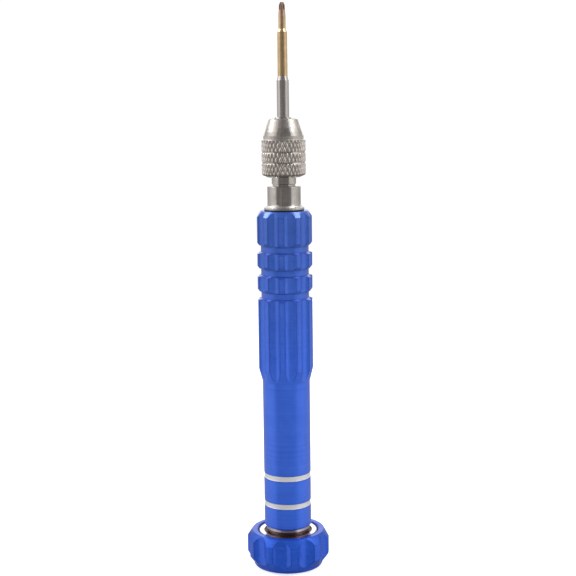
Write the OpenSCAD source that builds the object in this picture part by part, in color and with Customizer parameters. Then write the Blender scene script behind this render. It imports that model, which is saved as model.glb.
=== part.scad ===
// Watchmaker screwdriver with a collet chuck, a hollow fluted handle that stores
// spare blades, and a palm cap that spins on a ball bearing.
// Origin: centre of the palm cap's flat end. +Z runs along the axis to the blade's tip.

/* [Overall] */
// Length from the palm end to the tip of the fitted blade
overall_len = 146; // [144:0.5:150]
// Smoothness of turned surfaces
turn_fn = 96; // [48:8:128]

/* [Palm cap] */
// Largest radius of the palm cap
cap_r = 10.8; // [10.4:0.1:11.2]
// Height of the palm cap
cap_h = 9.4; // [9.3:0.1:9.6]
// Number of finger scallops round the cap
cap_flutes = 10; // [8:1:12]
// Radius at the bottom of a cap scallop
cap_flute_root_r = 9.65; // [9.6:0.05:9.9]
// Radius of the cutter that makes a cap scallop
cap_flute_cut_r = 3.4; // [3:0.1:4]

/* [Ball bearing] */
// Outer radius of the bearing
brg_out_r = 8; // [7.9:0.05:8]
// Bore radius of the bearing
brg_in_r = 4; // [3.9:0.05:4.1]
// Height of the bearing's lower face above the palm end
brg_z = 4.25; // [4.2:0.05:4.4]
// Width of the bearing
brg_w = 4.9; // [4.8:0.1:5]
// Number of balls
ball_count = 10; // [8:1:11]
// Radius of a ball
ball_r = 0.9; // [0.85:0.05:0.95]

/* [Handle] */
// Radius of the plain tube
tube_r = 6.15; // [6.05:0.05:6.3]
// Radius over the lands of the grip
grip_r = 7.1; // [6.9:0.05:7.4]
// Height of the handle's tail end
handle_z0 = 10.8; // [10.8:0.05:11]
// Height of the handle's chuck end
handle_z1 = 93.95; // [93.9:0.05:94]
// Height where the lands begin, above the taper
grip_z = 53; // [50:0.5:56]
// Length of the taper between tube and grip
taper_len = 3.4; // [2:0.2:6]
// Number of finger flutes
grip_flutes = 10; // [8:1:10]
// Radius at the bottom of a finger flute
grip_flute_root_r = 6.3; // [6.2:0.05:6.5]
// Radius of the cutter that makes a finger flute
grip_flute_cut_r = 2.1; // [1.8:0.1:2.6]
// Turn of the first flute from +X, in degrees
grip_flute_phase = -78.9; // [-100:0.1:-60]
// Number of grooves round the grip
groove_count = 3; // [1:1:3]
// Distance from one groove to the next
groove_pitch = 5.95; // [5.6:0.05:6.2]
// Number of bright-cut bands round the tail of the tube
band_count = 2; // [1:1:2]
// Distance from one bright band to the next
band_pitch = 7.5; // [6:0.1:9]
// Width of a bright band
band_w = 1.3; // [0.8:0.1:2]

/* [Chuck] */
// Height of the nut's tail end
nut_z0 = 102.45; // [102.4:0.05:102.6]
// Height of the nut's nose
nut_z1 = 117.2; // [117.15:0.05:117.4]
// Radius over the knurl
knurl_r = 5.62; // [5.5:0.02:5.8]
// Radius of the chuck's collar
collar_r = 4.27; // [4.1:0.01:4.5]
// Radius of the chuck's neck
neck_r = 3.12; // [3.08:0.01:3.2]
// Number of slits in the collet
collet_slits = 4; // [3:1:4]

/* [Blades] */
// Radius of a blade's shank
shank_r = 1.55; // [1.5:0.01:1.56]
// Radius of a blade's coated shaft
shaft_r = 1.24; // [1.1:0.01:1.3]
// Radius of a blade's neck behind the tip
blade_neck_r = 0.92; // [0.85:0.01:0.95]
// Distance of a stored blade from the handle's axis
store_pitch_r = 2.5; // [2.45:0.05:2.5]

/* [Hidden] */
eps = 0.01;
fit_gap = 0.05;

// Ball bearing, derived
brg_z1 = brg_z + brg_w;
brg_mid_z = brg_z + brg_w / 2;
ball_pitch_r = 5.7;
race_r = ball_r + 0.02;
outer_land_r = 6.2;
inner_land_r = 5.2;
seal_seat_r = 6.35;
seal_t = 0.35;
seal_set_in = 0.3;

// Tail plug, derived
plug_journal_r = brg_in_r - 0.01;
plug_hub_r = 4.9;
plug_boss_r = 5.7;
plug_boss_z = brg_z1 + 0.2;
tail_thread_r = 4.9;
plug_top_z = 21.4;
oring_z = handle_z0 + 1;
oring_r = 0.4;
oring_seat_r = 4.05;
rack_spigot_r = 2.4;
rack_snap_r = 2.6;
rack_snap_z = 18.6;
rack_r = 3.9;
rack_z0 = plug_top_z + 0.1;
rack_floor_z = 23.2;
rack_z1 = 29.2;

// Retaining screw, derived
screw_r = 0.95;
screw_head_r = 1.9;
screw_head_h = 1.1;
washer_r = 4.95;
washer_t = 0.5;

// Handle, derived
store_r = 4.2;
seat_r = 4.55;
stub_len = 8;
groove_z = 71.5;
groove_floor_r = tube_r;
groove_floor_w = 1.7;
groove_wall_h = 0.12;
groove_chamfer_r = 0.42;
groove_chamfer_h = 0.57;
band_z = 16.4;
band_depth = 0.14;

// Chuck, derived
washer_gap = 0.3;
flange_r = 5.15;
flange_z = handle_z1 + washer_gap;
collar_z1 = 100.25;
stub_thread_r = 2.9;
stub_top_z = 109.5;
collet_seat_z = 106;
collet_seat_r = 2.3;
bit_bore_r = 1.6;
magnet_z = 96.6;
magnet_h = 1.8;
knurl_z0 = 103.6;
knurl_z1 = 111.8;

// Blades, derived
blade_z0 = magnet_z + magnet_h + 0.1;
blade_len = overall_len - blade_z0;
stored_blade_z = rack_floor_z + 0.1;

// A solid of revolution about Z from points given as [radius, height]
module turned(points) {
    rotate_extrude($fn = turn_fn)
        polygon(points);
}

// A plain round bar between two heights
module bar(r, z0, z1) {
    translate([0, 0, z0])
        cylinder(r = r, h = z1 - z0, $fn = turn_fn);
}

// A flat ring between two heights
module ring(r_out, r_in, z0, z1) {
    difference() {
        bar(r_out, z0, z1);
        bar(r_in, z0 - 1, z1 + 1);
    }
}

// Copies placed evenly round the axis at a radius
module around(count, r, phase = 0) {
    for (i = [0 : count - 1])
        rotate([0, 0, phase + i * 360 / count])
            translate([r, 0, 0])
                children();
}

// ---- Palm cap and bearing ----

module palm_cap() {
    pocket_r = brg_out_r;
    rim_in_r = pocket_r + 0.15;
    well_r = 6.4;
    well_z = 2.3;
    color("royalblue")
    difference() {
        turned([
            [0, 0.45], [5, 0.25], [7, 0], [8.6, 0], [8.9, 0.12], [9.05, 0.4],
            [9.05, 0.75], [cap_r, 3.1], [cap_r, 7.45], [9.5, cap_h - 0.05],
            [9.42, cap_h], [rim_in_r + 0.1, cap_h], [rim_in_r, cap_h - 0.1],
            [pocket_r, brg_z1 + 0.05], [pocket_r, brg_z], [well_r, brg_z],
            [well_r, well_z], [0, well_z]
        ]);
        around(cap_flutes, cap_flute_root_r + cap_flute_cut_r, -99)
            bar(cap_flute_cut_r, -1, cap_h + 1);
    }
}

module race_groove() {
    translate([0, 0, brg_mid_z])
        rotate_extrude($fn = turn_fn)
            translate([ball_pitch_r, 0])
                circle(r = race_r, $fn = 32);
}

module bearing_outer_ring() {
    edge = 0.3;
    color("gainsboro")
    difference() {
        turned([
            [outer_land_r, brg_z + seal_set_in + seal_t], [seal_seat_r, brg_z + seal_set_in + seal_t],
            [seal_seat_r, brg_z], [brg_out_r - edge, brg_z], [brg_out_r - 0.01, brg_z + edge],
            [brg_out_r - 0.01, brg_z1 - edge], [brg_out_r - edge, brg_z1], [seal_seat_r, brg_z1],
            [seal_seat_r, brg_z1 - seal_set_in - seal_t], [outer_land_r, brg_z1 - seal_set_in - seal_t]
        ]);
        race_groove();
    }
}

module bearing_inner_ring() {
    color("silver")
    difference() {
        ring(inner_land_r, brg_in_r, brg_z, brg_z1);
        race_groove();
    }
}

module bearing_balls() {
    color("whitesmoke")
    translate([0, 0, brg_mid_z])
        around(ball_count, ball_pitch_r)
            sphere(r = ball_r, $fn = 32);
}

module bearing_cage() {
    half_h = 0.7;
    web_half_w = 0.28;
    pocket_r = ball_r + 0.06;
    color("darkgoldenrod")
    translate([0, 0, brg_mid_z])
        difference() {
            ring(ball_pitch_r + web_half_w, ball_pitch_r - web_half_w, -half_h - 0.75, half_h - 0.2);
            around(ball_count, ball_pitch_r)
                sphere(r = pocket_r, $fn = 32);
        }
}

module bearing_seal(z) {
    color("#241b20")
        ring(seal_seat_r - 0.01, inner_land_r + 0.12, z, z + seal_t);
}

module bearing_top_seal() {
    bearing_seal(brg_z1 - seal_set_in - seal_t + eps);
}

module bearing_bottom_seal() {
    bearing_seal(brg_z + seal_set_in - eps);
}

// ---- Tail plug and blade store ----

module retaining_washer() {
    color("silver")
        ring(washer_r, screw_r + 0.15, brg_z - washer_t - eps, brg_z - eps);
}

module retaining_screw() {
    head_z1 = brg_z - washer_t - 2 * eps;
    head_z0 = head_z1 - screw_head_h;
    slot_w = 0.5;
    slot_depth = 0.5;
    color("dimgray")
    difference() {
        turned([
            [0, head_z0], [screw_head_r - 0.3, head_z0], [screw_head_r, head_z0 + 0.3],
            [screw_head_r, head_z1], [screw_r, head_z1], [screw_r, head_z1 + 4.6],
            [screw_r - 0.2, head_z1 + 4.9], [0, head_z1 + 4.9]
        ]);
        for (turn = [0, 90])
            rotate([0, 0, turn])
                translate([-1.1, -slot_w / 2, head_z0 - 1])
                    cube([2.2, slot_w, 1 + slot_depth]);
    }
}

module tail_plug() {
    color("#3a3436")
    difference() {
        turned([
            [0, brg_z], [plug_journal_r - 0.2, brg_z], [plug_journal_r, brg_z + 0.2],
            [plug_journal_r, brg_z1], [plug_hub_r, brg_z1 + 0.02], [plug_hub_r, plug_boss_z],
            [plug_boss_r - 0.1, plug_boss_z], [plug_boss_r, plug_boss_z + 0.1],
            [plug_boss_r, handle_z0 - 0.2], [plug_boss_r - 0.15, handle_z0 - fit_gap],
            [oring_seat_r, handle_z0 - fit_gap], [oring_seat_r, oring_z + 0.7],
            [tail_thread_r - fit_gap - 0.4, oring_z + 0.7], [tail_thread_r - fit_gap, oring_z + 1.1],
            [tail_thread_r - fit_gap, plug_top_z - 0.6], [tail_thread_r - fit_gap - 0.6, plug_top_z],
            [0, plug_top_z]
        ]);
        bar(screw_r + fit_gap, brg_z - 1, brg_z + 4.8);
        bar(rack_spigot_r + fit_gap, 18, plug_top_z + 1);
        bar(rack_snap_r + fit_gap, rack_snap_z - 0.25, rack_snap_z + 0.7);
    }
}

module tail_o_ring() {
    color("#1c1a1c")
    translate([0, 0, oring_z])
        rotate_extrude($fn = turn_fn)
            translate([oring_seat_r + oring_r + eps, 0])
                circle(r = oring_r, $fn = 32);
}

module bit_rack() {
    slit_w = 0.7;
    color("#26262a")
    difference() {
        turned([
            [0, rack_snap_z - 0.45], [rack_spigot_r - 0.2, rack_snap_z - 0.45],
            [rack_spigot_r, rack_snap_z - 0.2], [rack_snap_r, rack_snap_z],
            [rack_snap_r, rack_snap_z + 0.4], [rack_spigot_r, rack_snap_z + 0.6], [rack_spigot_r, rack_z0],
            [rack_r - 0.3, rack_z0], [rack_r, rack_z0 + 0.3], [rack_r, rack_z1 - 0.3],
            [rack_r - 0.3, rack_z1], [0, rack_z1]
        ]);
        around(4, store_pitch_r, 45)
            bar(bit_bore_r, rack_floor_z, rack_z1 + 1);
        translate([-rack_r, -slit_w / 2, 17])
            cube([2 * rack_r, slit_w, 3.6]);
    }
}

// ---- Handle ----

function groove_points(z) = [
    [grip_r, z], [groove_floor_r, z], [groove_floor_r, z + groove_floor_w],
    [grip_r - groove_chamfer_r, z + groove_floor_w + groove_wall_h],
    [grip_r, z + groove_floor_w + groove_wall_h + groove_chamfer_h]
];

function band_points(z) = [
    [tube_r, z], [tube_r - band_depth, z + 0.08], [tube_r - band_depth, z + band_w - 0.08],
    [tube_r, z + band_w]
];

module handle_barrel() {
    tail_thread_len = plug_top_z - handle_z0 + 0.8;
    color("royalblue")
    difference() {
        turned(concat(
            [[store_r, handle_z0], [tube_r - 0.2, handle_z0], [tube_r, handle_z0 + 0.2]],
            [for (i = [0 : band_count - 1]) each band_points(band_z + i * band_pitch)],
            [[tube_r, grip_z - taper_len], [grip_r, grip_z]],
            [for (i = [0 : groove_count - 1]) each groove_points(groove_z + i * groove_pitch)],
            [[grip_r, handle_z1 - 1.5], [tube_r - 0.05, handle_z1], [store_r, handle_z1]]
        ));
        around(grip_flutes, grip_flute_root_r + grip_flute_cut_r, grip_flute_phase)
            bar(grip_flute_cut_r, grip_z - taper_len - 2, handle_z1 + 1);
        bar(tail_thread_r, handle_z0 - 1, handle_z0 + tail_thread_len);
        bar(seat_r, handle_z1 - stub_len - 0.2, handle_z1 + 1);
    }
}

// ---- Chuck ----

module collar_washer() {
    color("#1f1c22")
        ring(flange_r - 0.05, seat_r, handle_z1 + eps, flange_z - eps);
}

module chuck_body() {
    stub_z0 = handle_z1 - stub_len;
    color("#b9b4ae")
    difference() {
        turned([
            [0, stub_z0], [seat_r - 0.6, stub_z0], [seat_r - 0.02, stub_z0 + 0.6],
            [seat_r - 0.02, flange_z], [flange_r, flange_z], [flange_r, flange_z + 0.45],
            [flange_r - 0.12, flange_z + 0.55], [collar_r + 0.38, flange_z + 0.65],
            [collar_r + 0.13, flange_z + 0.95], [collar_r, flange_z + 1.4],
            [collar_r, collar_z1 - 0.15], [collar_r - 0.15, collar_z1], [neck_r - 0.2, collar_z1],
            [neck_r - 0.2, collar_z1 + 0.35], [neck_r, collar_z1 + 0.5], [neck_r, nut_z0 + 0.5],
            [stub_thread_r - 0.3, nut_z0 + 0.8], [stub_thread_r, nut_z0 + 1.1],
            [stub_thread_r, stub_top_z - 0.3], [stub_thread_r - 0.3, stub_top_z], [0, stub_top_z]
        ]);
        bar(bit_bore_r, magnet_z - eps, stub_top_z + 1);
        bar(collet_seat_r, collet_seat_z, stub_top_z + 1);
    }
}

module bit_magnet() {
    color("lightgray")
        bar(bit_bore_r - eps, magnet_z, magnet_z + magnet_h);
}

module collet() {
    z0 = collet_seat_z + 0.1;
    slit_w = 0.35;
    slit_z0 = 108;
    color("#a39d96")
    difference() {
        turned([
            [bit_bore_r, z0], [collet_seat_r - fit_gap, z0], [collet_seat_r - fit_gap, 111.6],
            [2.95, 112.4], [2.95, 113.3], [2.22, 116], [2.22, nut_z1 + 0.1],
            [2.05, nut_z1 + 0.3], [bit_bore_r, nut_z1 + 0.3]
        ]);
        for (i = [0 : collet_slits - 1])
            rotate([0, 0, i * 360 / collet_slits + 20])
                translate([0, -slit_w / 2, slit_z0])
                    cube([4, slit_w, 12]);
    }
}

module chuck_nut() {
    groove_z_list = [106.15, 108.8];
    groove_half_w = 0.2;
    color("#aaa39b")
    difference() {
        turned([
            [neck_r + 0.1, nut_z0], [4.2, nut_z0], [5.1, nut_z0 + 0.45], [5.45, nut_z0 + 0.8],
            [knurl_r, knurl_z0], [knurl_r, knurl_z1], [5.13, knurl_z1 + 0.15], [5.13, 112.9],
            [4.86, 113.95], [4.5, 114.9], [4.07, 116.1], [3.78, 116.95], [3.6, 117.13],
            [3.3, nut_z1], [2.3, nut_z1], [2.3, 116.1], [3.05, 113.3], [3.15, 110],
            [stub_thread_r + fit_gap, 109.8], [stub_thread_r + fit_gap, nut_z0 + 1.4],
            [neck_r + 0.1, nut_z0 + 1.1]
        ]);
        for (z = groove_z_list)
            ring(knurl_r + 1, knurl_r - 0.2, z - groove_half_w, z + groove_half_w);
    }
}

// ---- Blades ----

// Everything of a blade except the shape of its tip
module blade_blank() {
    shank_len = 28.2;
    shaft_len = blade_len - shank_len - 6.2;
    turned([
        [0, 0], [shank_r - 0.25, 0], [shank_r, 0.25], [shank_r, shank_len],
        [shaft_r + 0.03, shank_len + 1.1], [shaft_r, shank_len + shaft_len - 1.1],
        [blade_neck_r, shank_len + shaft_len - 0.4], [blade_neck_r, blade_len - 3.4],
        [0.8, blade_len - 2], [0, blade_len - 2]
    ]);
}

// A cross point: a cone with four tapering flutes
module cross_tip(end_r, root_r) {
    flute_tilt = 11;
    difference() {
        turned([
            [0, -2.1], [0.79, -2.1], [0.75, -0.7], [end_r, 0], [0, 0]
        ]);
        for (i = [0 : 3])
            rotate([0, 0, 45 + i * 90])
                translate([root_r, 0, 0])
                    rotate([0, -flute_tilt, 0])
                        rotate([0, 0, -45])
                            translate([0, 0, -6])
                                cube([2, 2, 8]);
    }
}

// A flat point ground from two sides
module flat_tip(width, thick) {
    grind_tilt = 7;
    difference() {
        turned([
            [0, -2.1], [0.8, -2.1], [width / 2, -1], [width / 2, 0], [0, 0]
        ]);
        for (side = [0, 180])
            rotate([0, 0, side])
                translate([-3, thick / 2, 0])
                    rotate([grind_tilt, 0, 0])
                        translate([0, 0, -8])
                            cube([6, 3, 10]);
    }
}

// A six-lobed star point
module hexalobe_tip() {
    lobe_r = 0.7;
    scallop_r = 0.24;
    difference() {
        turned([
            [0, -2.1], [0.8, -2.1], [lobe_r, -1.6], [lobe_r, -0.12], [lobe_r - 0.12, 0], [0, 0]
        ]);
        around(6, lobe_r + 0.08)
            translate([0, 0, -1.5])
                cylinder(r = scallop_r, h = 3, $fn = 32);
    }
}

// Places a finished blade at a stored position, standing on the rack
module stored(slot_no) {
    rotate([0, 0, 45 + slot_no * 90])
        translate([store_pitch_r, 0, stored_blade_z])
            children();
}

module cross_blade(end_r, root_r) {
    blade_blank();
    translate([0, 0, blade_len])
        cross_tip(end_r, root_r);
}

module flat_blade(width, thick) {
    blade_blank();
    translate([0, 0, blade_len])
        flat_tip(width, thick);
}

module hexalobe_blade() {
    blade_blank();
    translate([0, 0, blade_len])
        hexalobe_tip();
}

module cross_bit() {
    color("goldenrod")
    translate([0, 0, blade_z0])
        cross_blade(0.41, 0.16);
}

module spare_bit_flat_fine() {
    color("goldenrod")
    stored(0)
        flat_blade(1.2, 0.22);
}

module spare_bit_flat_wide() {
    color("goldenrod")
    stored(1)
        flat_blade(1.8, 0.3);
}

module spare_bit_cross() {
    color("goldenrod")
    stored(2)
        cross_blade(0.5, 0.2);
}

module spare_bit_hexalobe() {
    color("goldenrod")
    stored(3)
        hexalobe_blade();
}

palm_cap();
bearing_outer_ring();
bearing_inner_ring();
bearing_balls();
bearing_cage();
bearing_top_seal();
bearing_bottom_seal();
retaining_washer();
retaining_screw();
tail_plug();
tail_o_ring();
bit_rack();
handle_barrel();
collar_washer();
chuck_body();
bit_magnet();
collet();
chuck_nut();
cross_bit();
spare_bit_flat_fine();
spare_bit_flat_wide();
spare_bit_cross();
spare_bit_hexalobe();
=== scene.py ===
"""Visual model of a watchmaker screwdriver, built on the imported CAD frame."""
import math

import bmesh
import bpy
from mathutils import Matrix, Vector


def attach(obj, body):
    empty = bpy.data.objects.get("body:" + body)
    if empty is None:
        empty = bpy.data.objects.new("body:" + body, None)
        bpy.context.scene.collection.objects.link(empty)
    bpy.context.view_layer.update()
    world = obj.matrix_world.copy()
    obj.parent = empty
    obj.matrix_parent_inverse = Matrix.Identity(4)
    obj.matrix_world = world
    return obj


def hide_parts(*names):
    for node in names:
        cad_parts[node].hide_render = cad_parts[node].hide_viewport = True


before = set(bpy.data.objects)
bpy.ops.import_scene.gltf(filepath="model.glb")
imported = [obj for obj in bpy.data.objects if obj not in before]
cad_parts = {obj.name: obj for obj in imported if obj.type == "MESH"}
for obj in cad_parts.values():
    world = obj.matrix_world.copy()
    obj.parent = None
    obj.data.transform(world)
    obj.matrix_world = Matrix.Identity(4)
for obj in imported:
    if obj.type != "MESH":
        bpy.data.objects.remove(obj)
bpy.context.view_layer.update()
MM = 0.001

# Camera: millimetres of lens, metres and degrees
CAMERA_LENS = 77.0
CAMERA_SENSOR = 36.0
CAMERA_DISTANCE = 0.318
CAMERA_ELEVATION = 8.5
CAMERA_ROLL = -0.68
CAMERA_TARGET = (0.00072, 0.0, 0.07385)

# Floor and lamps, metres
FLOOR_R = 0.45
LAMP_AIM = (0, 0, 0.09)
HOT_LAMPS = (("hot_lamp_left", (-0.557, 0.139, 0.576)), ("hot_lamp_right", (0.49, -0.087, 0.67)))
HOT_LAMP_SIZE = (0.3, 0.26)
HOT_LAMP_RADIANCE = 8.0
FILL_LAMPS = (("front_fill", (0, -0.6, 0.12)), ("back_fill", (0, 0.6, 0.12)))
FILL_LAMP_SIZE = (0.6, 0.4)
FILL_LAMP_RADIANCE = 1.9

# World. Turns are degrees round from the camera's side. A height is the upward part of a
# direction of length 1: a pair of low heights fades a wall in, a pair of high ones fades it out.
# A light list gives brightness along a wall, as place from 0 to 1 and level.
WALL_START_LEFT = 55.0
WALL_START_RIGHT = 48.0
WALL_SPAN = 130.0
WALL_LOW = (-0.62, -0.5)
WALL_HIGH = (0.28, 0.36)
WALL_LIGHT = ((0.0, 0.0), (0.02, 0.56), (0.1, 0.62), (0.3, 0.58), (0.42, 0.45), (0.55, 0.36),
              (0.7, 0.28), (1.0, 0.2))
HIGH_WALL_LOW = (0.26, 0.38)
HIGH_WALL_HIGH = (0.74, 0.86)
HIGH_LIGHT_LEFT = ((0.2, 0.0), (0.3, 0.85), (0.44, 1.3), (0.5, 1.25), (0.6, 0.95), (0.8, 0.45),
                   (1.0, 0.3))
HIGH_LIGHT_RIGHT = ((0.24, 0.0), (0.32, 1.35), (0.4, 1.3), (0.46, 0.95), (0.6, 0.55), (0.8, 0.4),
                    (1.0, 0.3))
BACK_WALL_TURN = (140.0, 150.0)
BACK_WALL_LOW = (0.01, 0.05)
BACK_WALL_HIGH = (0.6, 0.68)
BACK_WALL_LIGHT = 1.3
STRIP_TURN = 23.0
STRIP_HALF_WIDTH = (3.0, 7.0)
STRIP_LIGHT = 0.1
WALL_TINT = (1.0, 0.985, 0.97, 1.0)
ROOM_LIGHT = 0.19
ROOM_TINT = (1.0, 0.95, 0.93, 1.0)
DIFFUSE_SHARE = 0.55
SEEN_WHITE = 1.05

# Handle, millimetres
TUBE_R = 6.15
GRIP_R = 7.1
HANDLE_Z0 = 10.8
HANDLE_Z1 = 93.95
STORE_R = 4.2
STORE_Z0 = 22.2
TAIL_BORE_R = 4.9
CHUCK_BORE_R = 4.55
CHUCK_BORE_DEPTH = 8.2
GRIP_Z = 53.0
TAPER_LEN = 3.4
# Flutes: how many, radius at the bottom, radius of the cutter, turn of the first, and how wide
# their edges are softened
GRIP_FLUTES = dict(count=10, root_r=6.3, cutter_r=2.1, phase=math.radians(-78.9), width=0.05)
GROOVE_ZS = (71.5, 77.45, 83.4)
GROOVE_FLOOR_W = 1.7
GROOVE_SHOULDER_H = 0.4
GROOVE_WALL_H = 0.12
GROOVE_CHAMFER_R = 0.42
GROOVE_CHAMFER_H = 0.57
BAND_ZS = (16.4, 23.9)
BAND_W = 1.3
BAND_DEPTH = 0.14
BAND_CORNER = 0.08

# Palm cap, millimetres
CAP_FLUTES = dict(count=10, root_r=9.65, cutter_r=3.4, phase=math.radians(-99), width=0.07)
CAP_OUTLINE = (
    (0, 0.45), (5, 0.25, 0.5), (7, 0, 0.3), (8.6, 0, 0.1), (8.9, 0.12, 0.1), (9.05, 0.4, 0.1),
    (9.05, 0.75, 0.15), (10.8, 3.1, 0.35), (10.8, 7.45, 0.35), (9.5, 9.35, 0.05),
    (9.42, 9.4, 0.05), (8.25, 9.4, 0.05), (8.15, 9.3, 0.05), (8.0, 9.2), (8.0, 4.25),
    (6.4, 4.25), (6.4, 2.3), (0, 2.3),
)

# Chuck nut, millimetres
KNURL_R = 5.62
KNURL_Z0 = 103.6
KNURL_Z1 = 111.8
KNURL_STARTS = 33
KNURL_LEAD_DEG = 24.0
KNURL_DEPTH = 0.2
NUT_RIM_R = 4.98
NUT_RIM_Z = 102.86
KNURL_GROOVES = (106.15, 108.8)
KNURL_GROOVE_DEPTH = 0.2
KNURL_GROOVE_HALF = 0.2
KNURL_GROOVE_BEVEL = 0.4
KNURL_GROOVE_ROWS = (-0.45, -0.38, -0.22, -0.18, 0.0, 0.18, 0.22)
KNURL_ROWS = 100
KNURL_COLUMNS = KNURL_STARTS * 10
NUT_BELOW = ((3.22, 102.45, 0.05), (4.2, 102.45, 0.2), (NUT_RIM_R, NUT_RIM_Z))
NUT_ABOVE = (
    (KNURL_R - 0.02, KNURL_Z1), (5.2, 111.93, 0.04), (5.13, 112.0, 0.04), (5.13, 112.9, 0.04),
    (4.86, 113.95, 0.8), (4.5, 114.9, 0.06), (4.07, 116.1, 0.5), (3.78, 116.95, 0.1),
    (3.6, 117.13, 0.06), (3.3, 117.2, 0.06), (2.3, 117.2, 0.08), (2.3, 116.1), (3.05, 113.3),
    (3.15, 110), (2.95, 109.8), (2.95, 103.85), (3.22, 103.55),
)

# Chuck body, millimetres
CHUCK_OUTLINE = (
    (1.6, 96.59), (1.6, 106.0), (2.3, 106.0), (2.3, 109.5), (2.6, 109.5), (2.9, 109.2),
    (2.9, 103.55), (2.6, 103.25), (3.12, 102.95), (3.12, 100.75, 0.05), (2.92, 100.6),
    (2.92, 100.25), (4.12, 100.25, 0.03), (4.27, 100.1, 0.03), (4.27, 95.65, 0.3),
    (4.4, 95.2, 0.3), (4.65, 94.9, 0.3), (5.03, 94.8, 0.06), (5.15, 94.7, 0.05),
    (5.15, 94.25, 0.05), (4.53, 94.25), (4.53, 86.55), (3.95, 85.95), (0, 85.95), (0, 96.59),
)
CHUCK_COLUMNS = 128

# Tail plug, millimetres
PLUG_BELOW = (
    (1.0, 9.05), (1.0, 4.25), (3.79, 4.25), (3.99, 4.45), (3.99, 9.15), (4.9, 9.17),
    (4.9, 9.35), (5.6, 9.35, 0.04), (5.7, 9.45, 0.04), (5.7, 9.84, 0.05), (5.55, 9.92, 0.03),
    (5.69, 9.99, 0.03), (5.32, 10.7, 0.05), (5.2, 10.75), (4.05, 10.75), (4.05, 12.5),
    (4.3, 12.5),
)
PLUG_ABOVE = (
    (4.25, 21.4), (2.45, 21.4), (2.45, 19.3), (2.65, 19.3), (2.65, 18.35), (2.45, 18.35),
    (2.45, 18.0), (0, 18.0), (0, 9.05),
)
PLUG_COLUMNS = 96
THREAD_Z0 = 12.65
THREAD_Z1 = 21.0
THREAD_PITCH = 0.75
THREAD_CREST_R = 4.85
THREAD_DEPTH = 0.42
THREAD_FADE = 0.8
THREAD_ROWS_PER_PITCH = 10
POLISHED_Z0 = 9.96
POLISHED_Z1 = 10.78

# Blades, millimetres: the lower end of each, then heights above it
BLADE_Z0 = 98.5
STORED_Z0 = 23.3
SHANK_LEN = 29.25
DARK_TIP_LEN = 43.2

# How wide the blades' and the collet's edges are shaded round, metres
SHADED_BEVEL = 0.00006


# ---- Mesh building ----

# Points round a softened corner, the most of a side that one may take, the angle from which an
# edge is shaded sharp, and a flute's bottom radius that leaves a ring uncut
SOFTEN_STEPS = 4
SIDE_SHARE = 0.45
SHARP_ANGLE = math.radians(38)
UNCUT = 99.0
MERGE_DISTANCE = 1e-7


def soften(points, steps=SOFTEN_STEPS, closed=True):
    """Rounds an outline's corners. A point is (radius, height) or (radius, height, corner)."""
    out = []
    count = len(points)
    for i, point in enumerate(points):
        here = Vector(point[:2])
        corner = point[2] if len(point) > 2 else 0.0
        at_end = not closed and i in (0, count - 1)
        if corner <= 0.0 or at_end:
            out.append((here.x, here.y))
            continue
        before = Vector(points[i - 1][:2]) - here
        after = Vector(points[(i + 1) % count][:2]) - here
        angle = before.angle(after)
        reach = corner / math.tan(angle / 2)
        reach = min(reach, SIDE_SHARE * before.length, SIDE_SHARE * after.length)
        start = here + before.normalized() * reach
        end = here + after.normalized() * reach
        for k in range(steps + 1):
            t = k / steps
            spot = start * (1 - t) ** 2 + here * (2 * t * (1 - t)) + end * t * t
            out.append((spot.x, spot.y))
    return out


def refine(outline, z0, z1, step):
    """Adds points to a closed outline's stretches between two heights, no further apart than
    step."""
    out = []
    for i, a in enumerate(outline):
        out.append(a)
        b = outline[(i + 1) % len(outline)]
        if min(a[1], b[1]) < z0 - 1e-6 or max(a[1], b[1]) > z1 + 1e-6:
            continue
        pieces = max(1, math.ceil(math.dist(a, b) / step))
        for k in range(1, pieces):
            t = k / pieces
            out.append((a[0] + (b[0] - a[0]) * t, a[1] + (b[1] - a[1]) * t))
    return out


def make_object(name, verts, faces, body, node, materials, face_material=None):
    """A smooth-shaded mesh object, in metres, that stands for a CAD node and rides on its body."""
    mesh = bpy.data.meshes.new(name)
    mesh.from_pydata([(x * MM, y * MM, z * MM) for x, y, z in verts], [], faces)
    for material in materials:
        mesh.materials.append(material)
    if face_material:
        mesh.polygons.foreach_set("material_index", face_material)
    work = bmesh.new()
    work.from_mesh(mesh)
    bmesh.ops.remove_doubles(work, verts=work.verts, dist=MERGE_DISTANCE)
    bmesh.ops.dissolve_degenerate(work, edges=work.edges, dist=1e-8)
    bmesh.ops.recalc_face_normals(work, faces=work.faces)
    work.to_mesh(mesh)
    work.free()
    mesh.shade_smooth()
    mesh.set_sharp_from_angle(angle=SHARP_ANGLE)
    obj = bpy.data.objects.new(name, mesh)
    bpy.context.scene.collection.objects.link(obj)
    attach(obj, body)
    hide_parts(node)
    return obj


def skin(rings):
    """Vertices and quads of a closed surface through rings with the same number of points each."""
    columns = len(rings[0])
    verts = [point for ring in rings for point in ring]
    faces = []
    for i in range(len(rings)):
        low = i * columns
        high = ((i + 1) % len(rings)) * columns
        for j in range(columns):
            k = (j + 1) % columns
            faces.append((low + j, low + k, high + k, high + j))
    return verts, faces


def round_ring(radius, z, columns):
    """A ring of points on a circle round the tool's axis."""
    step = 2 * math.pi / columns
    return [(radius * math.cos(j * step), radius * math.sin(j * step), z) for j in range(columns)]


def smooth_min(a, b, width):
    """The smaller of a and b, blended where they differ by less than width."""
    h = min(1.0, max(0.0, 0.5 + 0.5 * (b - a) / width))
    return b * (1 - h) + a * h - width * h * (1 - h)


# Where a ring's points lie: as shares of a flute's half width, then of the land beside it
FLUTE_PLACES = (0.0, 0.16, 0.32, 0.47, 0.6, 0.71, 0.8, 0.87, 0.92, 0.95, 0.975, 1.0, 1.03, 1.06)
LAND_PLACES = (0.3, 0.65)


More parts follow.
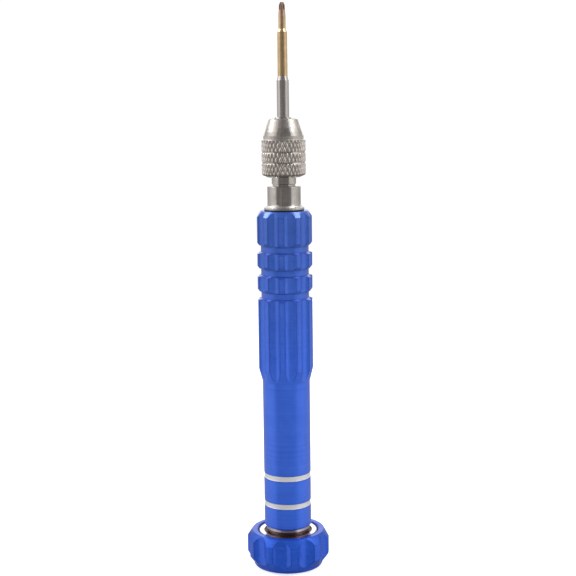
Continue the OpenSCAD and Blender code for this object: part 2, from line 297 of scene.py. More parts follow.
def fluted_ring(radius, z, count, root_r, cutter_r, phase, width):
    """A ring of the turned radius with round flutes cut in it, its corners softened over width.
    The cutter's radius and the flute's bottom radius say how deep and wide a flute is."""
    centre_r = root_r + cutter_r
    half = math.pi / count
    edge = 0.0
    if radius > root_r:
        cos_edge = (centre_r ** 2 + radius ** 2 - cutter_r ** 2) / (2 * centre_r * radius)
        edge = math.acos(min(1.0, cos_edge))
    edge = max(edge, 0.3 * half)
    side = [edge * t for t in FLUTE_PLACES]
    land = side[-1]
    side += [land + (half - land) * t for t in LAND_PLACES]
    deltas = [-d for d in reversed(side[1:])] + side + [half]
    points = []
    for i in range(count):
        for delta in deltas:
            r = radius
            reach = cutter_r ** 2 - (centre_r * math.sin(delta)) ** 2
            if reach > 0 and radius > root_r - width:
                cut = centre_r * math.cos(delta) - math.sqrt(reach)
                r = smooth_min(radius, cut, width)
            angle = phase + 2 * half * i + delta
            points.append((r * math.cos(angle), r * math.sin(angle), z))
    return points


# ---- Shader building ----

# Rays that look for edges and creases
EDGE_SAMPLES = 4
CREASE_SAMPLES = 8


def srgb(r, g, b):
    """A linear colour from 0-255 screen values."""
    out = []
    for v in (r, g, b):
        c = v / 255
        out.append(c / 12.92 if c <= 0.04045 else ((c + 0.055) / 1.055) ** 2.4)
    return (*out, 1.0)


class Graph:
    """A node tree and a short way to write its nodes."""

    def __init__(self, tree):
        self.tree = tree
        self.tree.nodes.clear()

    def node(self, kind, **settings):
        made = self.tree.nodes.new(kind)
        for key, value in settings.items():
            setattr(made, key, value)
        return made

    def feed(self, socket, value):
        if isinstance(value, bpy.types.NodeSocket):
            self.tree.links.new(value, socket)
        else:
            socket.default_value = value

    def math(self, op, a, b=0.0):
        made = self.node("ShaderNodeMath", operation=op)
        self.feed(made.inputs[0], a)
        self.feed(made.inputs[1], b)
        return made.outputs[0]

    def times(self, a, b):
        return self.math("MULTIPLY", a, b)

    def weigh(self, a, b, share):
        """The sum of a and b, in the shares share and 1 - share."""
        return self.math("ADD", self.times(a, share), self.times(b, 1 - share))

    def between(self, value, low, high):
        """1 where the value is between two limits, and 0 elsewhere."""
        return self.times(self.math("GREATER_THAN", value, low),
                          self.math("LESS_THAN", value, high))

    def vector(self, x, y, z):
        made = self.node("ShaderNodeCombineXYZ")
        for socket, value in zip(made.inputs, (x, y, z)):
            self.feed(socket, value)
        return made.outputs[0]

    def noise(self, vector, scale=1.0, detail=2.0, roughness=0.5):
        made = self.node("ShaderNodeTexNoise")
        self.feed(made.inputs["Vector"], vector)
        made.inputs["Scale"].default_value = scale
        made.inputs["Detail"].default_value = detail
        made.inputs["Roughness"].default_value = roughness
        return made.outputs[0]

    def ramp(self, factor, low, high, to_low=0.0, to_high=1.0):
        """Maps a value from one range to another, clamped."""
        made = self.node("ShaderNodeMapRange", clamp=True)
        self.feed(made.inputs["Value"], factor)
        made.inputs["From Min"].default_value = low
        made.inputs["From Max"].default_value = high
        made.inputs["To Min"].default_value = to_low
        made.inputs["To Max"].default_value = to_high
        return made.outputs[0]

    def mix(self, factor, a, b):
        made = self.node("ShaderNodeMix", data_type="RGBA")
        self.feed(made.inputs[0], factor)
        self.feed(made.inputs[6], a)
        self.feed(made.inputs[7], b)
        return made.outputs[2]

    def shade(self, factor, low, high, a, b):
        """Colour a where the factor is below low, b where it is above high."""
        return self.mix(self.ramp(factor, low, high), a, b)


class Surface(Graph):
    """A material with one Principled shader, for an object in metres round the Z axis."""

    def __init__(self, name, **values):
        self.mat = bpy.data.materials.new(name)
        self.mat.use_nodes = True
        super().__init__(self.mat.node_tree)
        self.bsdf = self.node("ShaderNodeBsdfPrincipled")
        out = self.node("ShaderNodeOutputMaterial")
        self.tree.links.new(self.bsdf.outputs[0], out.inputs["Surface"])
        split = self.node("ShaderNodeSeparateXYZ")
        coords = self.node("ShaderNodeTexCoord")
        self.tree.links.new(coords.outputs["Object"], split.inputs[0])
        self.coords = coords.outputs["Object"]
        self.x, self.y, self.z = split.outputs
        self.rad = self.math("SQRT", self.math("ADD", self.times(self.x, self.x),
                                               self.times(self.y, self.y)))
        for key, value in values.items():
            self.bsdf.inputs[key.replace("_", " ")].default_value = value

    def turning(self, pitch):
        """Fine rings left by the lathe, about pitch metres apart, on walls and on end faces."""
        k = 1.0 / pitch
        return self.noise(self.vector(self.times(self.rad, k), self.times(self.z, k), 0.0),
                          1.0, 1.0)

    def along(self, width, length):
        """Fine streaks along the axis."""
        return self.noise(self.vector(self.times(self.x, 1 / width),
                                      self.times(self.y, 1 / width),
                                      self.times(self.z, 1 / length)), 1.0, 2.0)

    def edge(self, radius, flat=0.98, sharp=0.8):
        """1 on sharp outer and inner edges, 0 on smooth faces. Flat and sharp are cosines between
        the true face and one rounded over the radius."""
        bevel = self.node("ShaderNodeBevel", samples=EDGE_SAMPLES)
        bevel.inputs["Radius"].default_value = radius
        geometry = self.node("ShaderNodeNewGeometry")
        dot = self.node("ShaderNodeVectorMath", operation="DOT_PRODUCT")
        self.feed(dot.inputs[0], bevel.outputs[0])
        self.feed(dot.inputs[1], geometry.outputs["Normal"])
        return self.ramp(dot.outputs["Value"], flat, sharp)

    def crease(self, reach):
        """1 deep in corners narrower than reach, 0 in the open."""
        open_sky = self.node("ShaderNodeAmbientOcclusion", samples=CREASE_SAMPLES,
                             only_local=True)
        open_sky.inputs["Distance"].default_value = reach
        return self.ramp(open_sky.outputs["AO"], 0.8, 0.5)

    def finish(self, colour, roughness, height, bump, distance, bevel=0.0):
        """Feeds the shader: colour, roughness, a bump of so much strength and distance, and edges
        shaded round over the bevel."""
        self.feed(self.bsdf.inputs["Base Color"], colour)
        self.feed(self.bsdf.inputs["Roughness"], roughness)
        relief = self.node("ShaderNodeBump")
        relief.inputs["Strength"].default_value = bump
        relief.inputs["Distance"].default_value = distance
        self.feed(relief.inputs["Height"], height)
        if bevel:
            rounded = self.node("ShaderNodeBevel", samples=EDGE_SAMPLES)
            rounded.inputs["Radius"].default_value = bevel
            self.feed(relief.inputs["Normal"], rounded.outputs[0])
        self.feed(self.bsdf.inputs["Normal"], relief.outputs[0])
        return self.mat


# ---- Materials ----

# Anodised metal: pitches of its turning rings, colour of its reflection, depth of a crease that
# gets painted shade, and widths of its rubbed edges with a painted highlight and of the band of
# painted shade along them, in metres. In all materials a noise's scale is in cells per metre, and
# the numbers round a ramp are where the noise starts and ends to act.
FINE_RING = 0.00009
COARSE_RING = 0.0007
BLUE_SPECULAR = (0.35, 0.42, 0.7, 1.0)
CREASE_SHADE_REACH = 0.0008
WEAR_GLINT_EDGE = 0.00013
EDGE_SHADE_BAND = 0.0005


def anodised(name, deep, bright, roughness, gloss, fade=None):
    """Blue anodised aluminium: turned, lightly blasted, with a clear hard skin. Its creases and a
    thin band along its edges carry painted shade, and its rubbed edges are lightened, part wear and
    part painted highlight. The colour gets a little greyer between the two heights of fade, in
    metres."""
    g = Surface(name, Metallic=0.38, Specular_Tint=BLUE_SPECULAR, Coat_Weight=gloss,
                Coat_Roughness=0.18, Coat_IOR=1.3 + 0.2 * gloss)
    rings = g.turning(FINE_RING)
    coarse = g.turning(COARSE_RING)
    blast = g.noise(g.coords, 9000.0, 2.0)
    cloud = g.noise(g.coords, 260.0, 3.0)
    tone = g.weigh(cloud, coarse, 0.55)
    colour = g.shade(tone, 0.3, 0.7, deep, bright)
    if fade:
        grey = g.shade(tone, 0.3, 0.7, srgb(62, 103, 200), srgb(72, 113, 212))
        colour = g.shade(g.z, *fade, colour, grey)
    # Painted shade: creases turn deep blue where little open sky reaches them.
    colour = g.mix(g.times(g.crease(CREASE_SHADE_REACH), 0.9), colour, srgb(8, 20, 86))
    near = g.edge(WEAR_GLINT_EDGE)
    # Painted shade in a thin band just inside each edge.
    beside = g.times(g.edge(EDGE_SHADE_BAND, 0.995, 0.94), g.math("SUBTRACT", 1.0, near))
    colour = g.mix(g.times(beside, 0.7), colour, srgb(14, 36, 130))
    # Rubbed edges lightened by noise: in part real wear, in part a painted highlight of edges
    # catching light.
    wear_and_glint = g.times(near, g.ramp(g.noise(g.coords, 900.0, 3.0), 0.3, 0.6, 0.4, 1.0))
    colour = g.mix(g.times(wear_and_glint, 0.5), colour, srgb(150, 180, 225))
    rough = g.ramp(g.weigh(rings, cloud, 0.5), 0.3, 0.7, roughness - 0.05, roughness + 0.06)
    return g.finish(colour, rough, g.weigh(rings, blast, 0.6), 0.35, 4e-6)


def bright_cut():
    """Bare aluminium turned bright after anodising."""
    g = Surface("bright_cut_aluminium", Metallic=0.5)
    rings = g.turning(0.00006)
    cloud = g.noise(g.coords, 500.0, 2.0)
    colour = g.shade(rings, 0.3, 0.7, srgb(222, 223, 225), srgb(250, 250, 250))
    rough = g.ramp(cloud, 0.3, 0.7, 0.42, 0.54)
    return g.finish(colour, rough, rings, 0.5, 3e-6)


def nickel(name, base, dark, low, high, marks, satin, bevel=0.0):
    """Nickel plate over turned brass, warm and slightly stained. Low and high are roughnesses,
    and marks is the pitch of the turning rings. Satin lists the duller bands, as lower height,
    upper height (both in millimetres) and added roughness."""
    g = Surface(name, Metallic=1.0)
    rings = g.turning(marks)
    stain = g.noise(g.coords, 350.0, 4.0, 0.6)
    streak = g.along(0.0005, 0.03)
    colour = g.shade(stain, 0.45, 0.75, base, dark)
    colour = g.mix(g.ramp(streak, 0.5, 0.66, 0.0, 0.8), colour, dark)
    rough = g.ramp(g.weigh(rings, stain, 0.4), 0.3, 0.7, low, high)
    for bottom, top, extra in satin:
        inside = g.between(g.z, bottom * MM, top * MM)
        rough = g.math("ADD", rough, g.times(inside, extra))
    return g.finish(colour, rough, rings, 0.4, 3e-6, bevel)


def knurled_nickel():
    """The same nickel on the knurl, with painted shade between the teeth."""
    g = Surface("knurled_nickel", Metallic=1.0)
    stain = g.noise(g.coords, 450.0, 4.0, 0.6)
    fine = g.noise(g.coords, 7000.0, 2.0)
    valley = g.ramp(g.rad, (KNURL_R - KNURL_DEPTH) * MM, KNURL_R * MM, 1.0, 0.0)
    colour = g.shade(stain, 0.4, 0.8, srgb(246, 240, 234), srgb(222, 214, 206))
    # Painted shade: the valleys between the teeth darken with their depth.
    colour = g.mix(g.times(valley, 0.6), colour, srgb(140, 130, 122))
    rough = g.ramp(g.weigh(fine, valley, 0.4), 0.1, 0.9, 0.32, 0.54)
    return g.finish(colour, rough, fine, 0.3, 4e-6)


def blade_coat(name, z0):
    """Ground steel shank, gold nitride shaft and a darker hardened tip, by height on the blade."""
    g = Surface(name, Metallic=1.0)
    rings = g.turning(0.00007)
    streak = g.along(0.00012, 0.004)
    cloud = g.noise(g.coords, 900.0, 3.0)
    shank = g.shade(streak, 0.3, 0.7, srgb(196, 191, 188), srgb(222, 218, 216))
    gold = g.shade(cloud, 0.3, 0.7, srgb(220, 188, 142), srgb(238, 210, 166))
    tip = g.shade(cloud, 0.3, 0.7, srgb(192, 160, 138), srgb(216, 186, 162))
    shift = g.times(g.math("SUBTRACT", cloud, 0.5), 0.0006)
    height = g.math("ADD", g.z, shift)
    shank_top = (z0 + SHANK_LEN) * MM
    tip_low = (z0 + DARK_TIP_LEN) * MM
    colour = g.shade(height, shank_top - 5e-5, shank_top + 5e-5, shank, gold)
    colour = g.shade(height, tip_low, tip_low + 0.0012, colour, tip)
    rough = g.ramp(g.weigh(rings, streak, 0.5), 0.3, 0.7, 0.18, 0.3)
    rough = g.math("ADD", rough, g.ramp(height, shank_top, shank_top + 0.0004, 0.0, 0.12))
    rough = g.math("ADD", rough, g.ramp(height, tip_low - 0.002, tip_low + 0.001, 0.0, 0.12))
    return g.finish(colour, rough, rings, 0.4, 3e-6, SHADED_BEVEL)


def steel(name, base, dark, low, high, bevel=0.00008, border=None):
    """Plain bearing or washer steel, ground and oiled. Low and high are roughnesses. Border is the
    radius, in millimetres, past which the edge gets painted shade and a painted reflection of the
    blue cap wall."""
    g = Surface(name, Metallic=1.0)
    rings = g.turning(0.00008)
    film = g.noise(g.coords, 600.0, 3.0)
    colour = g.shade(film, 0.35, 0.75, base, dark)
    if border:
        # Painted shade with a painted reflection of the blue cap wall on the edge past that radius.
        colour = g.shade(g.rad, border * MM, (border + 0.12) * MM, colour, srgb(70, 82, 128))
    rough = g.ramp(g.weigh(rings, film, 0.5), 0.3, 0.7, low, high)
    return g.finish(colour, rough, rings, 0.3, 2e-6, bevel)


def rubber(name, base, light, roughness):
    """Moulded black rubber with dust and a fine grain."""
    g = Surface(name, Metallic=0.0, Specular_IOR_Level=0.4)
    grain = g.noise(g.coords, 12000.0, 3.0)
    dust = g.noise(g.coords, 700.0, 4.0, 0.6)
    colour = g.shade(dust, 0.45, 0.8, base, light)
    rough = g.ramp(dust, 0.3, 0.7, roughness - 0.08, roughness + 0.08)
    return g.finish(colour, rough, grain, 0.5, 6e-6, 0.00008)


def black_axle():
    """Black oxidised steel of the tail plug: brown below the polished bare shoulder under the
    handle, that brown tint in part a painted reflection of something reddish, and darker on the
    thread above it."""
    g = Surface("black_oxide", Metallic=1.0)
    rings = g.turning(0.00008)
    film = g.noise(g.coords, 500.0, 3.0)
    # Dark oxidised steel whose brown tint is in part a painted reflection of something reddish.
    oxide_and_reflection = g.shade(film, 0.35, 0.75, srgb(136, 100, 102), srgb(104, 72, 76))
    bare = g.shade(film, 0.35, 0.75, srgb(184, 180, 190), srgb(158, 152, 160))
    thread = g.shade(film, 0.35, 0.75, srgb(108, 103, 108), srgb(80, 76, 82))
    polished = g.between(g.z, POLISHED_Z0 * MM, POLISHED_Z1 * MM)
    colour = g.mix(polished, oxide_and_reflection, bare)
    colour = g.mix(g.math("GREATER_THAN", g.z, POLISHED_Z1 * MM), colour, thread)
    rough = g.ramp(g.weigh(rings, film, 0.5), 0.3, 0.7, 0.2, 0.34)
    return g.finish(colour, rough, rings, 0.3, 3e-6)


def nylon():
    """Dark moulded nylon of the blade store."""
    g = Surface("dark_nylon", Metallic=0.0, Specular_IOR_Level=0.5)
    grain = g.noise(g.coords, 6000.0, 3.0)
    cloud = g.noise(g.coords, 350.0, 3.0)
    colour = g.shade(cloud, 0.3, 0.7, srgb(38, 38, 42), srgb(54, 54, 60))
    rough = g.ramp(cloud, 0.3, 0.7, 0.42, 0.58)
    return g.finish(colour, rough, grain, 0.4, 8e-6, 0.0001)


# ---- Pieces ----

def handle_outline():
    """The handle's closed outline: outside from tail to chuck, then the bore back down."""
    points = [(TUBE_R - 0.2, HANDLE_Z0, 0.05), (TUBE_R, HANDLE_Z0 + 0.2, 0.08)]
    for z in BAND_ZS:
        floor_r = TUBE_R - BAND_DEPTH
        points += [(TUBE_R, z, 0.03), (floor_r, z + BAND_CORNER, 0.03)]
        points += [(floor_r, z + BAND_W - BAND_CORNER, 0.03), (TUBE_R, z + BAND_W, 0.03)]
    points += [(TUBE_R, GRIP_Z - TAPER_LEN, 1.2), (GRIP_R, GRIP_Z, 0.9)]
    for z in GROOVE_ZS:
        wall_top = z + GROOVE_FLOOR_W + GROOVE_WALL_H
        points += [(GRIP_R, z - GROOVE_SHOULDER_H, 0.05), (TUBE_R, z + 0.03, 0.06)]
        points += [(TUBE_R, z + GROOVE_FLOOR_W, 0.05)]
        points += [(GRIP_R - GROOVE_CHAMFER_R, wall_top, 0.05)]
        points += [(GRIP_R, wall_top + GROOVE_CHAMFER_H, 0.1)]
    points += [(GRIP_R, HANDLE_Z1 - 1.5, 0.1), (TUBE_R - 0.05, HANDLE_Z1, 0.12)]
    points += [(CHUCK_BORE_R + 0.1, HANDLE_Z1, 0.05), (CHUCK_BORE_R, HANDLE_Z1 - 0.1, 0.05)]
    points += [(CHUCK_BORE_R, HANDLE_Z1 - CHUCK_BORE_DEPTH), (STORE_R, HANDLE_Z1 - CHUCK_BORE_DEPTH)]
    points += [(STORE_R, STORE_Z0), (TAIL_BORE_R, STORE_Z0), (TAIL_BORE_R, HANDLE_Z0 + 0.3)]
    points += [(TAIL_BORE_R + 0.2, HANDLE_Z0, 0.05)]
    return points


def fluted_rings(outline, flutes, inside_r, from_z):
    """A ring for each point of an outline, fluted outside the radius inside_r and above from_z."""
    rings = []
    for r, z in outline:
        here = dict(flutes)
        if r <= inside_r or z <= from_z:
            here["root_r"] = UNCUT
        rings.append(fluted_ring(r, z, **here))
    return rings


def build_handle(blue, bright):
    """The handle's shell, with bare metal in the bottoms of its two bands."""
    outline = soften(handle_outline())
    outline = refine(outline, GRIP_Z - TAPER_LEN - 0.6, GRIP_Z + 0.6, 0.25)
    for z in GROOVE_ZS:
        outline = refine(outline, z - GROOVE_SHOULDER_H - 0.1, z + 0.1, 0.12)
        outline = refine(outline, z + GROOVE_FLOOR_W, z + 3.0, 0.2)
    outline = refine(outline, HANDLE_Z1 - 1.8, HANDLE_Z1, 0.2)
    rings = fluted_rings(outline, GRIP_FLUTES, 5.5, GRIP_Z - TAPER_LEN - 1)
    verts, faces = skin(rings)
    columns = len(rings[0])
    index = []
    for i in range(len(rings)):
        a = outline[i]
        b = outline[(i + 1) % len(outline)]
        mid_z = (a[1] + b[1]) / 2
        cut = any(z + 0.02 < mid_z < z + BAND_W - 0.02 for z in BAND_ZS)
        bare = cut and min(a[0], b[0]) > TUBE_R - BAND_DEPTH - 0.01
        index += [1 if bare else 0] * columns
    return make_object("handle_shell", verts, faces, "handle", "handle_barrel",
                       [blue, bright], index)


def build_cap(blue):
    """The palm cap's shell with its scallops."""
    outline = soften(CAP_OUTLINE)
    outline = refine(outline, 0.7, 3.4, 0.25)
    outline = refine(outline, 7.1, 9.38, 0.25)
    verts, faces = skin(fluted_rings(outline, CAP_FLUTES, 9.0, 0.0))
    return make_object("cap_shell", verts, faces, "cap", "palm_cap", [blue])


def knurl_height(angle, z):
    """1 on a tooth's crest and 0 in the valleys of the two crossing helices."""
    lead = 2 * math.pi * KNURL_R / math.tan(math.radians(KNURL_LEAD_DEG))
    turns = angle / (2 * math.pi)
    sides = []
    for way in (1, -1):
        t = (KNURL_STARTS * (turns + way * z / lead)) % 1.0
        sides.append(1 - abs(2 * t - 1))
    return min(1.0, 1.5 * min(sides))


def knurl_rows():
    """Heights of the knurl's rings of points, with crisp edges at its two ring grooves."""
    rows = []
    for k in range(KNURL_ROWS + 1):
        z = NUT_RIM_Z + (KNURL_Z1 - NUT_RIM_Z) * k / KNURL_ROWS
        if min(abs(z - g + 0.1) for g in KNURL_GROOVES) > 0.36:
            rows.append(z)
    for g in KNURL_GROOVES:
        rows += [g + offset for offset in KNURL_GROOVE_ROWS]
    return sorted(rows)


def knurl_radius(angle, z):
    """Radius of the knurled surface, with its rounded lower rim and the two ring grooves."""
    rim = KNURL_R
    if z < KNURL_Z0:
        t = (KNURL_Z0 - z) / (KNURL_Z0 - NUT_RIM_Z)
        rim = KNURL_R - 0.6 * (1 - math.sqrt(max(0.0, 1 - t * t * 0.96)))
    ends = min(z - NUT_RIM_Z, KNURL_Z1 - z)
    fade = min(1.0, max(0.0, ends / 0.12))
    radius = rim - KNURL_DEPTH * (1 - knurl_height(angle, z)) * fade
    for g in KNURL_GROOVES:
        floor_z = g - KNURL_GROOVE_HALF
        bevel_z = g - KNURL_GROOVE_BEVEL
        if floor_z <= z <= g + KNURL_GROOVE_HALF:
            radius = KNURL_R - KNURL_GROOVE_DEPTH
        elif bevel_z < z < floor_z:
            radius = min(radius, KNURL_R - 0.11 * (z - bevel_z) / (floor_z - bevel_z))
    return radius


def build_nut(metal, knurl):
    """The chuck nut with its diamond knurl."""
    rings = [round_ring(r, z, KNURL_COLUMNS) for r, z in soften(NUT_BELOW, closed=False)]
    first = len(rings)
    step = 2 * math.pi / KNURL_COLUMNS
    rows = knurl_rows()
    for z in rows:
        ring = []
        for j in range(KNURL_COLUMNS):
            r = knurl_radius(j * step, z)
            ring.append((r * math.cos(j * step), r * math.sin(j * step), z))
        rings.append(ring)
    last = len(rings)
    rings += [round_ring(r, z, KNURL_COLUMNS) for r, z in soften(NUT_ABOVE, closed=False)]
    verts, faces = skin(rings)
    index = []
    for i in range(len(rings)):
        knurled = first <= i < last - 1
        if knurled:
            mid = (rows[i - first] + rows[i - first + 1]) / 2
            knurled = not any(g - KNURL_GROOVE_BEVEL < mid < g + KNURL_GROOVE_HALF
                              for g in KNURL_GROOVES)
        index += [1 if knurled else 0] * KNURL_COLUMNS
    return make_object("chuck_nut_knurled", verts, faces, "chuck_nut", "chuck_nut",
                       [metal, knurl], index)


def build_chuck(metal):
    """The chuck body: flange, collar, neck and the two stubs."""
    rings = [round_ring(r, z, CHUCK_COLUMNS) for r, z in soften(CHUCK_OUTLINE)]
    verts, faces = skin(rings)
    return make_object("chuck_turned", verts, faces, "handle", "chuck_body",
                       [metal])


def thread_rings():
    """Rings of the tail plug's screw thread, which fades out at both ends."""
    rings = []
    length = THREAD_Z1 - THREAD_Z0
    rows = int(length / THREAD_PITCH * THREAD_ROWS_PER_PITCH)
    for k in range(rows + 1):
        z = THREAD_Z0 + length * k / rows
        ends = min(1.0, (z - THREAD_Z0) / THREAD_FADE + 0.1, (THREAD_Z1 - z) / THREAD_FADE + 0.1)
        ring = []
        for j in range(PLUG_COLUMNS):
            turn = j / PLUG_COLUMNS
            t = (z / THREAD_PITCH - turn) % 1.0
            tooth = min(1.0, 1.3 * (1 - abs(2 * t - 1)))
            r = THREAD_CREST_R - THREAD_DEPTH + THREAD_DEPTH * tooth * ends
            ring.append((r * math.cos(2 * math.pi * turn), r * math.sin(2 * math.pi * turn), z))
        rings.append(ring)
    return rings


def build_tail_plug(metal):
    """The tail plug with a real screw thread where the CAD has a plain cylinder."""
    below = soften(PLUG_BELOW, 3, closed=False)
    rings = [round_ring(r, z, PLUG_COLUMNS) for r, z in below]
    rings += thread_rings()
    rings += [round_ring(r, z, PLUG_COLUMNS) for r, z in PLUG_ABOVE]
    verts, faces = skin(rings)
    return make_object("tail_plug_threaded", verts, faces, "tail", "tail_plug",
                       [metal])


def dress(node, material):
    """Gives a CAD node its material."""
    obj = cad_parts[node]
    obj.data.materials.clear()
    obj.data.materials.append(material)


def build_shells():
    """The pieces that stand for CAD nodes, each with its own materials."""
    blue = anodised("anodised_blue_handle", srgb(58, 108, 232), srgb(68, 120, 243), 0.36, 0.6,
                    fade=(0.055, 0.09))
    cap_blue = anodised("anodised_blue_cap_skin", srgb(40, 92, 212), srgb(50, 104, 230), 0.28, 0.4)
    metal = nickel("turned_nickel", srgb(210, 207, 203), srgb(186, 180, 174), 0.14, 0.26, 7e-5,
                   ((94.1, 95.3, 0.24),))
    nut_metal = nickel("nut_nickel_turned", srgb(212, 208, 203), srgb(192, 186, 179), 0.16, 0.28,
                       9e-5, ((111.85, 112.9, 0.24), (114.9, 117.3, 0.12)))
    build_handle(blue, bright_cut())
    build_cap(cap_blue)
    build_nut(nut_metal, knurled_nickel())
    build_chuck(metal)
    build_tail_plug(black_axle())


def dress_chuck_and_blades():
    dress("collet", nickel("collet_steel_ground", srgb(200, 197, 192), srgb(170, 166, 160),
                           0.2, 0.32, 7e-5, ((116.6, 117.2, 0.1),), SHADED_BEVEL))
    dress("bit_magnet", steel("magnet_plate", srgb(200, 200, 205), srgb(170, 170, 176), 0.12, 0.22))
    dress("cross_bit", blade_coat("fitted_blade_coat", BLADE_Z0))
    spare = blade_coat("spare_blade_coat", STORED_Z0)
    for name in ("flat_fine", "flat_wide", "cross", "hexalobe"):
        dress("spare_bit_" + name, spare)
    dress("bit_rack", nylon())


def dress_rubber():
    black = rubber("black_rubber_skin", srgb(24, 22, 25), srgb(44, 41, 45), 0.5)
    dress("tail_o_ring", black)
    dress("collar_washer", black)
    seal = rubber("seal_rubber_skin", srgb(40, 29, 33), srgb(66, 46, 50), 0.42)
    dress("bearing_top_seal", seal)
    dress("bearing_bottom_seal", seal)


def dress_bearing():
    dress("bearing_outer_ring", steel("bearing_outer_steel", srgb(246, 242, 241),
                                      srgb(226, 221, 220), 0.12, 0.24, border=7.38))
    dress("bearing_inner_ring", steel("bearing_steel_ground", srgb(232, 230, 230),
                                      srgb(205, 202, 202), 0.12, 0.24))
    dress("bearing_balls", steel("ball_steel_lapped", srgb(225, 225, 228), srgb(205, 205, 210),
                                 0.05, 0.1, 0.0))
    dress("bearing_cage", steel("cage_brass_pressed", srgb(205, 170, 100), srgb(170, 135, 75),
                                0.25, 0.4))
    dress("retaining_washer", steel("washer_steel_stamped", srgb(190, 190, 192),
                                    srgb(150, 150, 154), 0.25, 0.4))
    dress("retaining_screw", steel("screw_black_oxide", srgb(70, 66, 70), srgb(48, 44, 48),
                                   0.25, 0.38))


# ---- Studio ----

def area_light(name, place, look_at, size, radiance):
    """A rectangular lamp, unseen by the camera, whose face has so much radiance."""
    width, height = size
    light = bpy.data.lights.new(name, "AREA")
    light.shape = "RECTANGLE"
    light.size = width
    light.size_y = height
    light.energy = radiance * math.pi * width * height
    obj = bpy.data.objects.new(name, light)
    obj.location = place
    obj.rotation_euler = (Vector(look_at) - Vector(place)).to_track_quat("-Z", "Y").to_euler()
    obj.visible_camera = False
    bpy.context.scene.collection.objects.link(obj)
    return obj


def build_floor():
    """A wide pale floor, lit evenly behind the tool so that no horizon shows."""
    mesh = bpy.data.meshes.new("studio_floor")
    work = bmesh.new()
    bmesh.ops.create_circle(work, cap_ends=True, segments=96, radius=FLOOR_R)
    work.to_mesh(mesh)
    work.free()
    g = Surface("floor_paper", Metallic=0.0, Specular_IOR_Level=0.1, Roughness=0.9)
    tone = g.mix(g.noise(g.coords, 40.0, 3.0), srgb(236, 236, 236), srgb(242, 242, 242))
    g.feed(g.bsdf.inputs["Base Color"], tone)
    g.feed(g.bsdf.inputs["Emission Color"], (1.0, 1.0, 1.0, 1.0))
    path = g.node("ShaderNodeLightPath")
    g.feed(g.bsdf.inputs["Emission Strength"],
           g.times(path.outputs["Is Camera Ray"], g.ramp(g.y, -0.12, 0.1, 0.4, 0.8)))
    mesh.materials.append(g.mat)
    floor = bpy.data.objects.new("studio_floor", mesh)
    floor.location = (0.0, 0.0, -0.00002)
    bpy.context.scene.collection.objects.link(floor)
    floor.visible_glossy = False
    floor.visible_shadow = False


def light_curve(g, place, points):
    """A smooth brightness along 0 to 1, from pairs of place and level up to 2."""
    made = g.node("ShaderNodeValToRGB")
    g.feed(made.inputs[0], place)
    stops = made.color_ramp.elements
    while len(stops) < len(points):
        stops.new(0.5)
    for stop, (spot, level) in zip(stops, points):
        stop.position = spot
        stop.color = (level / 2, level / 2, level / 2, 1.0)
    return g.times(made.outputs[0], 2.0)


def in_out(g, value, low, high):
    """Fades in over the two values of low and out again over the two values of high."""
    return g.times(g.ramp(value, *low), g.ramp(value, high[1], high[0]))


def wall_brightness(g):
    """Brightness of the white walls, by direction."""
    coords = g.node("ShaderNodeTexCoord")
    split = g.node("ShaderNodeSeparateXYZ")
    g.feed(split.inputs[0], coords.outputs["Generated"])
    x, y, z = split.outputs
    turn = g.math("ARCTAN2", x, g.times(y, -1.0))
    turn = g.times(g.math("ABSOLUTE", turn), 180 / math.pi)
    on_right = g.math("GREATER_THAN", x, 0.0)
    on_left = g.math("SUBTRACT", 1.0, on_right)
    start = g.math("SUBTRACT", WALL_START_LEFT,
                   g.times(on_right, WALL_START_LEFT - WALL_START_RIGHT))
    along = g.math("DIVIDE", g.math("SUBTRACT", turn, start), WALL_SPAN)
    wall = g.times(light_curve(g, along, WALL_LIGHT), in_out(g, z, WALL_LOW, WALL_HIGH))
    round_way = g.math("DIVIDE", turn, 180.0)
    left = g.times(light_curve(g, round_way, HIGH_LIGHT_LEFT), on_left)
    right = g.times(light_curve(g, round_way, HIGH_LIGHT_RIGHT), on_right)
    high = g.times(g.math("ADD", left, right), in_out(g, z, HIGH_WALL_LOW, HIGH_WALL_HIGH))
    back = g.times(g.ramp(turn, *BACK_WALL_TURN), in_out(g, z, BACK_WALL_LOW, BACK_WALL_HIGH))
    back = g.times(back, BACK_WALL_LIGHT)
    off_strip = g.math("ABSOLUTE", g.math("SUBTRACT", turn, STRIP_TURN))
    strip = g.times(g.ramp(off_strip, STRIP_HALF_WIDTH[1], STRIP_HALF_WIDTH[0]), on_left)
    strip = g.times(strip, STRIP_LIGHT)
    return g.math("MAXIMUM", g.math("ADD", wall, high), g.math("MAXIMUM", back, strip))


def background(g, tint, strength):
    made = g.node("ShaderNodeBackground")
    made.inputs["Color"].default_value = tint
    g.feed(made.inputs["Strength"], strength)
    return made.outputs[0]


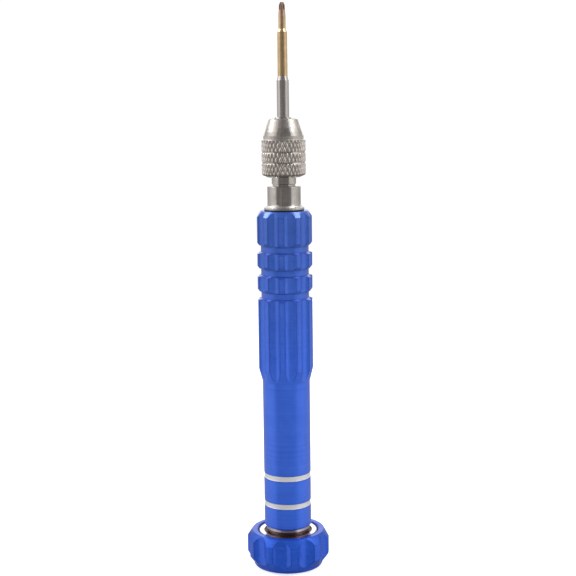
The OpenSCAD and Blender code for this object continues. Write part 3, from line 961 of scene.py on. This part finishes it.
def build_world():
    """White where the camera looks past the tool. Reflections see a grey room with a tall white
    wall on each side, bright from its front edge and fading to the back, and a white back wall."""
    world = bpy.data.worlds.new("studio_world")
    bpy.context.scene.world = world
    world.use_nodes = True
    g = Graph(world.node_tree)
    path = g.node("ShaderNodeLightPath")
    share = g.math("SUBTRACT", 1.0, g.times(path.outputs["Is Diffuse Ray"], 1.0 - DIFFUSE_SHARE))
    lit = g.node("ShaderNodeAddShader")
    g.feed(lit.inputs[0], background(g, ROOM_TINT, g.times(share, ROOM_LIGHT)))
    g.feed(lit.inputs[1], background(g, WALL_TINT, g.times(share, wall_brightness(g))))
    mix = g.node("ShaderNodeMixShader")
    g.feed(mix.inputs[0], path.outputs["Is Camera Ray"])
    g.feed(mix.inputs[1], lit.outputs[0])
    g.feed(mix.inputs[2], background(g, (1.0, 1.0, 1.0, 1.0), SEEN_WHITE))
    out = g.node("ShaderNodeOutputWorld")
    g.feed(out.inputs["Surface"], mix.outputs[0])


def build_camera():
    """A camera in front of the tool, a little above it, rolled to the picture's upright."""
    data = bpy.data.cameras.new("studio_camera")
    data.lens = CAMERA_LENS
    data.sensor_width = CAMERA_SENSOR
    data.clip_start = 0.01
    camera = bpy.data.objects.new("studio_camera", data)
    target = Vector(CAMERA_TARGET)
    lift = math.radians(CAMERA_ELEVATION)
    back = Vector((0.0, -math.cos(lift), math.sin(lift)))
    camera.location = target + back * CAMERA_DISTANCE
    aim = back.to_track_quat("Z", "Y").to_matrix().to_4x4()
    roll = Matrix.Rotation(math.radians(CAMERA_ROLL), 4, "Z")
    camera.matrix_world = Matrix.Translation(camera.location) @ aim @ roll
    bpy.context.scene.collection.objects.link(camera)
    bpy.context.scene.camera = camera


def build_studio():
    build_floor()
    build_world()
    for name, place in HOT_LAMPS:
        area_light(name, place, LAMP_AIM, HOT_LAMP_SIZE, HOT_LAMP_RADIANCE)
    for name, place in FILL_LAMPS:
        fill = area_light(name, place, LAMP_AIM, FILL_LAMP_SIZE, FILL_LAMP_RADIANCE)
        fill.visible_glossy = False
    bpy.context.scene.view_settings.view_transform = "Standard"


build_camera()
build_studio()
build_shells()
dress_chuck_and_blades()
dress_rubber()
dress_bearing()
